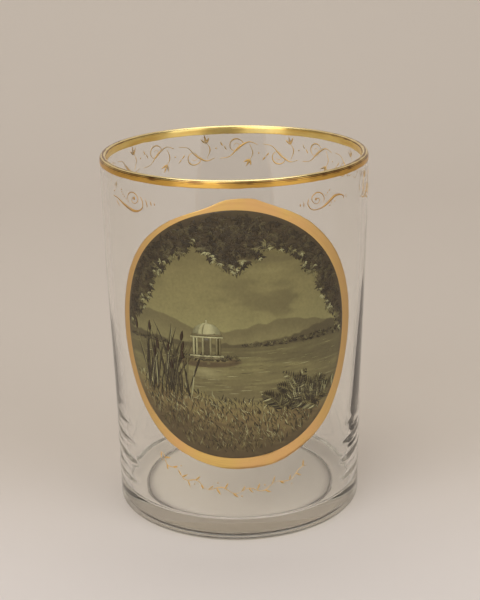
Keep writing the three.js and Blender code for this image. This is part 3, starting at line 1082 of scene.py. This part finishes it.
def ferns(random):
    """Fern fronds low on the right: pairs of leaflets along a bent rib, shorter towards its tip"""
    fronds, pairs = 13, 15
    roots = np.column_stack([random.uniform(9, 23, fronds), random.uniform(-23, -18.5, fronds)])
    headings = np.linspace(2.5, 0.55, fronds) + random.normal(0, 0.1, fronds)
    lengths = random.uniform(7, 11.5, fronds)
    bends = np.where(headings > np.pi / 2, 0.35, -0.35)
    ribs, rib_halves = dabs(roots, headings, lengths, 0.34, bends, pairs + 1)
    way = np.gradient(ribs, axis=1)[:, 1:]
    turn = np.arctan2(way[..., 1], way[..., 0])
    share = np.linspace(0.06, 1, pairs)
    leaflet = np.tile(2.5 * np.sin(np.pi * (0.16 + 0.84 * share)) ** 0.8 + 0.35, fronds)
    groups = [painted(ribs, rib_halves, mixed(random, {LEAF_LIT: 1}, fronds), 0.02)]
    lit = {LEAF_DARK: 0.3, LEAF: 0.3, LEAF_LIT: 0.25, LEAF_PALE: 0.15}
    shaded = {LEAF_DARK: 0.6, LEAF: 0.3, LEAF_LIT: 0.1}
    for side, palette in ((1, lit), (-1, shaded)):
        directions = (turn + 1.05 * side).ravel()
        paths, halves = dabs(ribs[:, 1:].reshape(-1, 2), directions, leaflet, 0.46, -0.15 * side, 4)
        groups.append(painted(paths, halves, mixed(random, palette, len(leaflet)), 0.03))
    return groups


def grass(random):
    """Short strokes of grass on the near bank, darker further down"""
    def on_bank(x, y):
        """Under the bank's crest and clear of the picture's edge"""
        return (y < bank_height(x)) & (edge_distance(x, y) > 1.3)

    places = scattered(random, 1500, on_bank)
    count = len(places)
    directions = np.pi / 2 + random.normal(0.25, 0.35, count)
    lengths = random.uniform(0.8, 2.2, count)
    widths = random.uniform(0.18, 0.34, count)
    paths, halves = dabs(places, directions, lengths, widths, random.normal(0, 0.2, count), 4)
    tones = mixed(random, {LEAF_DARK: 0.36, LEAF: 0.24, LIT_BANK: 0.26, LEAF_PALE: 0.14}, count)
    below = bank_height(places[:, 0]) - places[:, 1]
    return [painted(paths, halves, laid(tones, (DARK_BANK, 0.35 * rise(below, 5, 13))), 0)]


def far_bushes(random):
    """Bushes on the far shore and the island: small fans that point up"""
    x = np.concatenate([random.uniform(-31, -18, 60), random.uniform(2, 31, 100)])
    shore = np.column_stack([x, SHORE + random.uniform(-0.1, 1.5, len(x)) * hump(x, 24, 16)])
    island = ISLAND + np.column_stack([random.normal(0, 4.2, 90), random.uniform(0.2, 1.5, 90)])
    places = np.vstack([shore, island])
    places = places[edge_distance(places[:, 0], places[:, 1]) > 1]
    headings = np.pi / 2 + random.normal(0, 0.5, len(places))
    palette = {LEAF_DARK: 0.5, NEAR_HILL: 0.35, LEAF_LIT: 0.15}
    return [
        leaf_fans(random, places, headings, palette, 0.01, leaves=4, reach=0.8, width=0.3, spread=1.1)
    ]


def glints(random):
    """Thin level strokes of light on the lake"""
    def on_lake(x, y):
        """Between the two shores and well clear of the picture's edge"""
        return (y < SHORE - 1) & (y > bank_height(x) + 1) & (edge_distance(x, y) > 3)

    places = scattered(random, 150, on_lake)
    count = len(places)
    paths, halves = dabs(places, 0, random.uniform(0.8, 4.0, count), 0.13, 0, 5)
    tones = mixed(random, {LEAF_PALE: 0.2, LOW_SKY: 0.5, NEAR_HILL: 0.3}, count)
    inside = edge_distance(paths[:, -1, 0], paths[:, -1, 1]) > 1
    return [painted(paths[inside], halves[inside], tones[inside], 0)]


def temple():
    """A small round temple on the island: steps, a dark inside, pillars, a beam and a dome, whose half
    width is a quarter ellipse of its height"""
    def bars(direction, tones, up, *rows):
        """Straight strokes of even width. A row is a start from the island's middle, a length and a
        width."""
        rows = np.array(rows, float)
        run = np.linspace(0, 1, 5)[None, :, None] * rows[:, 2, None, None]
        paths = (ISLAND + rows[:, :2])[:, None, :] + np.array(direction) * run
        return painted(paths, np.broadcast_to(rows[:, 3:] / 2, paths.shape[:2]), tones, up)

    level, upright = (1, 0), (0, 1)
    inside = bars(upright, [NEAR_HILL], 0.02, (0, 1.4, 5.4, 6.4))
    steps = bars(level, [STONE_SHADE, STONE], 0.03, (-5, 1.0, 10, 0.62), (-4.5, 1.55, 9, 0.6))
    pillar_x = 3.5 * np.sin(np.radians([-78, -48, -17, 17, 48, 78]))
    light = np.linspace(1, 0, len(pillar_x))
    tones = laid(STONE_SHADE, (LEAF_PALE, light))
    pillars = bars(upright, tones, 0.032, *[(x, 1.8, 4.9, 0.62) for x in pillar_x])
    beam = bars(level, [STONE, STONE_SHADE], 0.035, (-4.3, 6.8, 8.6, 0.5), (-4.0, 7.4, 8, 0.55))
    share = np.linspace(0, 1, 12)
    spine = ISLAND + np.column_stack([0 * share, 7.6 + 3.1 * share])
    dome_half = 3.7 * np.sqrt(np.maximum(0.004, 1 - share**2))
    dome = painted(spine[None], dome_half[None], [STONE], 0.038)
    light_side = spine - 0.45 * dome_half[:, None] * level
    lit = painted(light_side[None], 0.22 * dome_half[None], [LEAF_PALE], 0.05)
    knob = bars(upright, [STONE], 0.04, (0, 10.5, 1.1, 0.5))
    return [inside, steps, pillars, beam, dome, lit, knob]


class BEAKER_OT_picture(bpy.types.Operator):
    """Adds the enamel picture: its plate, with the soft underpainting, and the brush strokes on it"""

    bl_idname = "beaker.picture"
    bl_label = "Picture"

    def execute(self, context):
        picture = context.scene.beaker_picture
        finish = enamel_material()
        self.add_plate(picture, finish)
        random = np.random.default_rng(picture.seed)
        parts = {
            "picture_garland": garland(random),
            "picture_bank": grass(random) + reeds(random) + ferns(random),
            "picture_lake": glints(random) + far_bushes(random) + temple(),
        }
        for name, groups in parts.items():
            points, faces, tones = joined(groups)
            add_paint(new_piece(name, points, faces, finish), tones)
        return {"FINISHED"}

    def add_plate(self, picture, finish):
        """The plate's front is a square grid pressed into a disc, each coordinate times the root of one
        less half the other's square, and then stretched to the oval. Its back is rings that shrink
        evenly from the rim to a middle point."""
        steps, rings = 240, 32
        under_frame = 0.12 * MM
        rounded_share = 0.012
        s, t = np.meshgrid(np.linspace(-1, 1, steps), np.linspace(-1, 1, steps), indexing="ij")
        disc_x, disc_y = s * np.sqrt(1 - t**2 / 2), t * np.sqrt(1 - s**2 / 2)
        reach = np.hypot(disc_x, disc_y)
        middle = picture_middle()
        edge = opening_edge(np.arctan2(disc_y, disc_x), under_frame)
        front = middle + (edge - middle) * reach[..., None]
        rounding = np.sqrt(np.clip((1 - reach) / rounded_share, 0, 1))
        front_points = on_wall(front, picture.clearance + picture.thickness * (0.4 + 0.6 * rounding))
        index = np.arange(steps * steps).reshape(steps, steps)
        rim = np.concatenate([index[:-1, 0], index[-1, :-1], index[:0:-1, -1], index[0, :0:-1]])
        rim_places = front.reshape(-1, 2)[rim]
        share = np.linspace(1, 0, rings + 1)[:-1, None, None]
        back_points = on_wall(middle + (rim_places - middle) * share, picture.clearance)
        centre_point = on_wall(middle[None], picture.clearance)
        points = np.vstack([front_points.reshape(-1, 3), back_points.reshape(-1, 3), centre_point])
        first_back = steps * steps
        around = len(rim)
        ring = np.arange(around)
        following = (ring + 1) % around
        last = first_back + (rings - 1) * around
        faces = [
            grid_faces(steps, steps, False, False),
            grid_faces(rings, around, False, True) + first_back,
            np.column_stack([rim[ring], rim[following], first_back + following, first_back + ring]),
            np.column_stack([last + ring, last + following, np.full(around, len(points) - 1)]),
        ]
        piece = new_piece("picture_plate", points, faces, finish, "medallion_enamel")
        x, y = np.moveaxis((front - middle) / MM, -1, 0)
        back_tones = np.tile(UNDER_COAT, (len(points) - first_back, 1))
        add_paint(piece, np.vstack([painted_ground(x, y).reshape(-1, 3), back_tones]))


# Pen ornament. Places are (along the wall from the front, height above the foot), in millimetres.
# A tick is a place, a heading and a length, and an eye has a width as well.

# How thick a pen stroke is, as a share of the other gilding's thickness
PEN_SHARE = 0.7
SCROLLS = {
    "left": {
        "stroke": [
            (-38.3, 93.2), (-35.9, 93.0), (-34.0, 92.3), (-32.0, 91.6), (-30.0, 91.0), (-28.6, 90.8),
            (-27.1, 91.0), (-26.0, 91.6), (-25.4, 92.4), (-25.4, 93.4), (-25.8, 94.4), (-26.2, 94.9),
        ],
        "volute": [
            (-30.7, 92.7), (-31.1, 94.0), (-30.3, 95.2), (-28.9, 95.6), (-27.6, 95.1), (-27.0, 94.0),
            (-27.6, 93.1), (-28.7, 92.8), (-29.4, 93.3), (-29.1, 94.1), (-28.5, 94.2),
        ],
        "eye": (-28.6, 93.7, 1.2, 0.95),
        "ticks": [
            (-23.8, 92.4, 1.75, 2.3), (-22.5, 92.9, 1.7, 1.4), (-21.4, 93.1, 1.7, 0.9),
            (-36.4, 92.3, -0.85, 2.1),
        ],
        "dots": [(-33.9, 95.4), (-33.7, 94.8), (-33.2, 94.2), (-32.6, 93.8), (-31.8, 93.3), (-37.6, 94.4)],
    },
    "right": {
        "stroke": [
            (32.2, 92.9), (31.2, 93.6), (29.7, 94.0), (28.2, 93.9), (27.0, 93.3), (25.6, 92.5),
            (24.2, 91.8), (22.4, 91.4), (20.8, 91.5), (19.7, 92.3), (19.2, 93.4), (19.6, 94.6),
        ],
        "volute": [
            (24.2, 92.9), (24.4, 94.1), (23.6, 95.3), (22.2, 95.8), (20.9, 95.3), (20.4, 94.3),
            (21.0, 93.3), (22.1, 92.9), (22.9, 93.5), (22.6, 94.2), (21.9, 94.4),
        ],
        "eye": (21.9, 93.8, 1.9, 0.8),
        "ticks": [
            (31.9, 92.5, 1.6, 1.2), (33.1, 92.5, 1.65, 1.0), (18.0, 92.6, 1.45, 1.3),
            (17.0, 92.8, 1.45, 0.8),
        ],
        "dots": [(26.2, 95.6), (25.5, 95.1), (24.9, 94.5), (26.9, 92.3), (26.3, 91.6), (28.2, 92.4)],
    },
}


def pen_path(points, thin, thick, swell_middle, swell_width):
    """A pen stroke through points, as its path and its half widths in metres. The half width is thin at
    both ends and swells by a Gauss curve around one share of the way."""
    stations = 44
    share = np.linspace(0, 1, stations)
    path = through(np.asarray(points, float) * MM, stations)
    half = thin + (thick - thin) * hump(share, swell_middle, swell_width)
    taper = np.minimum(1, np.minimum(share, 1 - share) / 0.06 + 0.25)
    return path, half * taper * MM


def pen_piece(name, node, lines, marks, finish):
    """One piece of pen gilding: long strokes, and short ones as (along, height, heading, length, width)"""
    gilding = bpy.context.scene.beaker_gilding
    thickness = gilding.thickness * PEN_SHARE
    paths, halves = (np.stack(each) for each in zip(*lines))
    marks = np.asarray(marks, float)
    marks[:, [0, 1, 3, 4]] *= MM
    short, short_halves = dabs(marks[:, :2], *marks[:, 2:].T, 0.12, 7)
    groups = [
        strokes(paths, halves, gilding.clearance, thickness),
        strokes(short, short_halves, gilding.clearance, thickness),
    ]
    points, faces = joined(groups)
    return new_piece(name, points, faces, finish, node)


def pale_gold():
    """The finish that the lower spray and the back border share"""
    gilding = bpy.context.scene.beaker_gilding
    return pen_material("pale_gold", gilding.pale, gilding.pale_thin)


class BEAKER_OT_scrolls(bpy.types.Operator):
    """Adds the two pen scrolls beside the picture's top, with their ticks and dots"""

    bl_idname = "beaker.scrolls"
    bl_label = "Scrolls"

    def execute(self, context):
        gilding = context.scene.beaker_gilding
        finish = pen_material("pen_gold", gilding.pen, gilding.pen_thin)
        for side, drawing in SCROLLS.items():
            lines = [
                pen_path(drawing["stroke"], 0.12, 0.4, 0.36, 0.2),
                pen_path(drawing["volute"], 0.09, 0.15, 0.3, 0.2),
            ]
            marks = [(*tick, 0.3) for tick in drawing["ticks"]]
            marks += [(*dot, 0.9, 0.4, 0.4) for dot in drawing["dots"]]
            marks.append((*drawing["eye"], 0.75))
            pen_piece(f"scroll_gilding_{side}", f"scroll_{side}", lines, marks, finish)
        return {"FINISHED"}


class BEAKER_OT_spray(bpy.types.Operator):
    """Adds the thin sprig under the picture: a wavy stem with leaves on both sides and a few dots"""

    bl_idname = "beaker.spray"
    bl_label = "Lower spray"

    def execute(self, context):
        random = np.random.default_rng(23)
        count, waves, wave_height = 200, 6.5, 0.75
        bow = [(-23.5, 24.3), (-17.4, 19.6), (-9.6, 16.6), (0, 15.5), (9.4, 16.6), (19.6, 20.4)]
        line = through(bow, count)
        ahead = unit(np.gradient(line, axis=0))
        aside = left_of(ahead)
        turn = 2 * np.pi * waves * np.linspace(0, 1, count)
        stem = line + wave_height * np.sin(turn)[:, None] * aside
        # The stem is drawn in five strokes, end over end
        starts = range(2, 159, 39)
        lines = [pen_path(stem[start : start + 41 : 5], 0.05, 0.14, 0.5, 0.3) for start in starts]
        marks = []
        for leaf, index in enumerate(range(4, count, 9)):
            side = 1 if leaf % 2 else -1
            heading = np.arctan2(ahead[index, 1], ahead[index, 0]) + side * random.uniform(0.7, 1.1)
            marks.append((*stem[index], heading, random.uniform(1.4, 2.3), random.uniform(0.46, 0.6)))
            if leaf % 3 == 1:
                marks.append((*(stem[index] - 1.4 * side * aside[index]), 0.5, 0.42, 0.42))
        pen_piece("spray_gilding", "lower_spray", lines, marks, pale_gold())
        return {"FINISHED"}


class BEAKER_OT_back_border(bpy.types.Operator):
    """Adds the vine around the back, under the lip: groups of curled tendrils with leaves and dots"""

    bl_idname = "beaker.back_border"
    bl_label = "Back border"

    def execute(self, context):
        random = np.random.default_rng(31)
        start, spacing, middle = 42.0, 13.0, 92.9
        lines, marks = [], []
        for index in range(10):
            side = 1 if index % 2 else -1

            def at(along, up):
                """A place in this group, whose ups are downs in every second one"""
                return (start + spacing * index + along, middle + up * side)

            wave = [at(0, 1.9), at(2.8, 2.7), at(6, 0.9), at(8.6, -1.6), at(11.6, -2.2)]
            lines.append(pen_path(wave, 0.09, 0.3, 0.45, 0.2))
            turn = np.linspace(0, 2.9 * np.pi, 15)
            radius = 2.5 * (1 - 0.78 * turn / turn[-1])
            curl = at(6.7, 1.5) + np.column_stack([-radius * np.cos(turn), side * radius * np.sin(turn)])
            lines.append(pen_path(curl, 0.07, 0.22, 0.22, 0.16))
            # A shoot with three leaves at its end
            shoot = [at(2.6, 2.2), at(1.6, -0.6), at(2.6, -2.9)]
            lines.append(pen_path(shoot, 0.07, 0.18, 0.5, 0.25))
            for heading, reach in ((-1.9, 2.3), (-1.25, 2.6), (-0.55, 2.2)):
                marks.append((*at(2.6, -2.5), side * heading, reach * random.uniform(0.85, 1.1), 0.62))
            marks += [(*at(9.6, 0.4), side, 1.5, 0.42), (*at(10.7, 1.6), side, 1.5, 0.42)]
            marks.append((*at(12.6, 0.8), 0.8, 0.5, 0.5))
        pen_piece("border_gilding", "back_border", lines, marks, pale_gold())
        return {"FINISHED"}


# The stage

# The camera's place in metres, and its angles in radians
CAMERA_PLACE = (0, -364.398 * MM, 177.629 * MM)
CAMERA_DOWN = 0.3177
CAMERA_TURN = 0.0027
CAMERA_ROLL = -0.0167
# The photo's size and focal length in pixels, and the camera's sensor in millimetres
PHOTO_WIDTH, PHOTO_HEIGHT = 480, 600
FOCAL_PIXELS = 1362.7
SENSOR_WIDTH = 36
GLASS_BOUNCES = 24


class BEAKER_OT_stage(bpy.types.Operator):
    """Adds the table and backdrop, the lights and the camera"""

    bl_idname = "beaker.stage"
    bl_label = "Stage"

    def execute(self, context):
        stage = context.scene.beaker_stage
        self.add_paper(stage)
        # Each light has its place and its size in metres
        self.add_light("key_light", (-0.66, -1.09, 1.0), (1.1, 1.05), stage.key_power)
        self.add_light("fill_light", (1.05, -0.92, 0.9), (0.95, 1.05), stage.fill_power)
        self.add_light("top_light", (0, 0.1, 1.6), (1.4, 1.4), stage.top_power)
        self.add_room(context, stage)
        self.add_camera(context)
        context.scene.view_settings.view_transform = "Standard"
        cycles = context.scene.cycles
        cycles.max_bounces = GLASS_BOUNCES
        cycles.transmission_bounces = GLASS_BOUNCES
        cycles.glossy_bounces = GLASS_BOUNCES
        cycles.transparent_max_bounces = GLASS_BOUNCES
        return {"FINISHED"}

    def add_paper(self, stage):
        """One sheet: flat under the beaker, then a quarter circle up to an upright back. Its lengths
        are in metres."""
        front, bend_start, bend, top, half_width = -1.2, 0.35, 0.5, 3.0, 3
        curve = arc(bend_start, bend, bend, bend, -np.pi / 2, 0, 24)
        line = np.vstack([[front, 0], curve, [bend_start + bend, top]])
        across = np.linspace(-half_width, half_width, 13)
        x, y = np.meshgrid(across, line[:, 0], indexing="ij")
        z = np.broadcast_to(line[:, 1], x.shape) - stage.drop
        points = np.stack([x, y, z], -1).reshape(-1, 3)
        faces = [grid_faces(len(across), len(line), False, False)[:, ::-1]]
        new_mesh("paper", points, faces, stage_material())

    def add_light(self, name, place, size, power):
        """A rectangular soft light that faces the beaker. It doesn't show through the glass, where it
        would break up the lines at the base."""
        light = bpy.data.lights.new(name, "AREA")
        light.shape = "RECTANGLE"
        light.size, light.size_y = size
        light.energy = power
        lamp = new_object(name, light)
        lamp.location = place
        aim = Vector((0, 0, 0.05)) - Vector(place)
        lamp.rotation_mode = "QUATERNION"
        lamp.rotation_quaternion = aim.to_track_quat("-Z", "Y")
        lamp.visible_transmission = False

    def add_room(self, context, stage):
        """Even light from all round. Glass and gold see the backdrop's colour near the horizon, and
        overhead a dark ceiling by reflection and a pale one through the glass, but none of it along a
        path that has left a matt surface."""
        world = bpy.data.worlds.new("room")
        context.scene.world = world
        tree = Tree(world)
        lit = tree.set(tree.nodes["Background"], {"Color": stage.room, "Strength": stage.room_strength})
        path = tree.add("ShaderNodeLightPath", {}).outputs
        overhead = tree.remap(tree.coordinate("Z", "Generated"), 0.15, 0.5, easing="SMOOTHSTEP")
        above = tree.blend(path["Is Transmission Ray"], stage.ceiling, stage.skylight)
        seen_colour = tree.blend(overhead, stage.backdrop, above)
        seen = tree.add("ShaderNodeBackground", {"Color": seen_colour, "Strength": 0.95})
        straight = tree.combine("MAXIMUM", path["Is Camera Ray"], path["Is Glossy Ray"])
        any_way = tree.combine("MAXIMUM", straight, path["Is Transmission Ray"])
        clear_way = tree.combine("LESS_THAN", path["Diffuse Depth"], 0.5)
        factor = tree.combine("MULTIPLY", any_way, clear_way)
        surface = tree.either(factor, lit.outputs["Background"], seen.outputs["Background"])
        tree.feed(tree.nodes["World Output"].inputs["Surface"], surface)

    def add_camera(self, context):
        """A camera with its right, its up and the reverse of its way as the columns of its matrix"""
        level_way = np.cos(CAMERA_DOWN)
        way = (np.sin(CAMERA_TURN) * level_way, np.cos(CAMERA_TURN) * level_way, -np.sin(CAMERA_DOWN))
        ahead = Vector(way)
        level = ahead.cross(Vector((0, 0, 1))).normalized()
        upright = level.cross(ahead)
        right = np.cos(CAMERA_ROLL) * level + np.sin(CAMERA_ROLL) * upright
        up = np.cos(CAMERA_ROLL) * upright - np.sin(CAMERA_ROLL) * level
        camera = bpy.data.cameras.new("camera")
        camera.sensor_width = SENSOR_WIDTH
        camera.lens = SENSOR_WIDTH * FOCAL_PIXELS / max(PHOTO_WIDTH, PHOTO_HEIGHT)
        camera.clip_start = 10 * MM
        holder = new_object("camera", camera)
        axes = Matrix((right, up, -ahead)).transposed()
        holder.matrix_world = Matrix.Translation(CAMERA_PLACE) @ axes.to_4x4()
        context.scene.camera = holder


# The add-on

class BEAKER_PT_panel(bpy.types.Panel):
    """Lists the beaker's pieces and their settings"""

    bl_idname = "BEAKER_PT_panel"
    bl_label = "Beaker"
    bl_space_type = "VIEW_3D"
    bl_region_type = "UI"
    bl_category = "Beaker"

    def draw(self, context):
        for operator in OPERATORS:
            self.layout.operator(operator.bl_idname)
        for name, group in SETTINGS.items():
            box = self.layout.box()
            for prop in group.__annotations__:
                box.prop(getattr(context.scene, name), prop)


SETTINGS = {
    "beaker_glass": GlassSettings,
    "beaker_gilding": GildingSettings,
    "beaker_picture": PictureSettings,
    "beaker_stage": StageSettings,
}
OPERATORS = (
    BEAKER_OT_stage,
    BEAKER_OT_glass,
    BEAKER_OT_lip_gilding,
    BEAKER_OT_picture_frame,
    BEAKER_OT_picture,
    BEAKER_OT_scrolls,
    BEAKER_OT_spray,
    BEAKER_OT_back_border,
)


def register():
    """Adds the settings to every scene, and the operators and the panel"""
    for name, group in SETTINGS.items():
        bpy.utils.register_class(group)
        setattr(bpy.types.Scene, name, PointerProperty(type=group))
    for operator in OPERATORS:
        bpy.utils.register_class(operator)
    bpy.utils.register_class(BEAKER_PT_panel)


def unregister():
    """Takes them all out again, in the reverse order"""
    bpy.utils.unregister_class(BEAKER_PT_panel)
    for operator in reversed(OPERATORS):
        bpy.utils.unregister_class(operator)
    for name, group in reversed(SETTINGS.items()):
        delattr(bpy.types.Scene, name)
        bpy.utils.unregister_class(group)


def main():
    register()
    bpy.ops.beaker.stage()
    bpy.ops.beaker.glass()
    bpy.ops.beaker.lip_gilding()
    bpy.ops.beaker.picture_frame()
    bpy.ops.beaker.picture()
    bpy.ops.beaker.scrolls()
    bpy.ops.beaker.spray()
    bpy.ops.beaker.back_border()


if __name__ == "__main__":
    main()
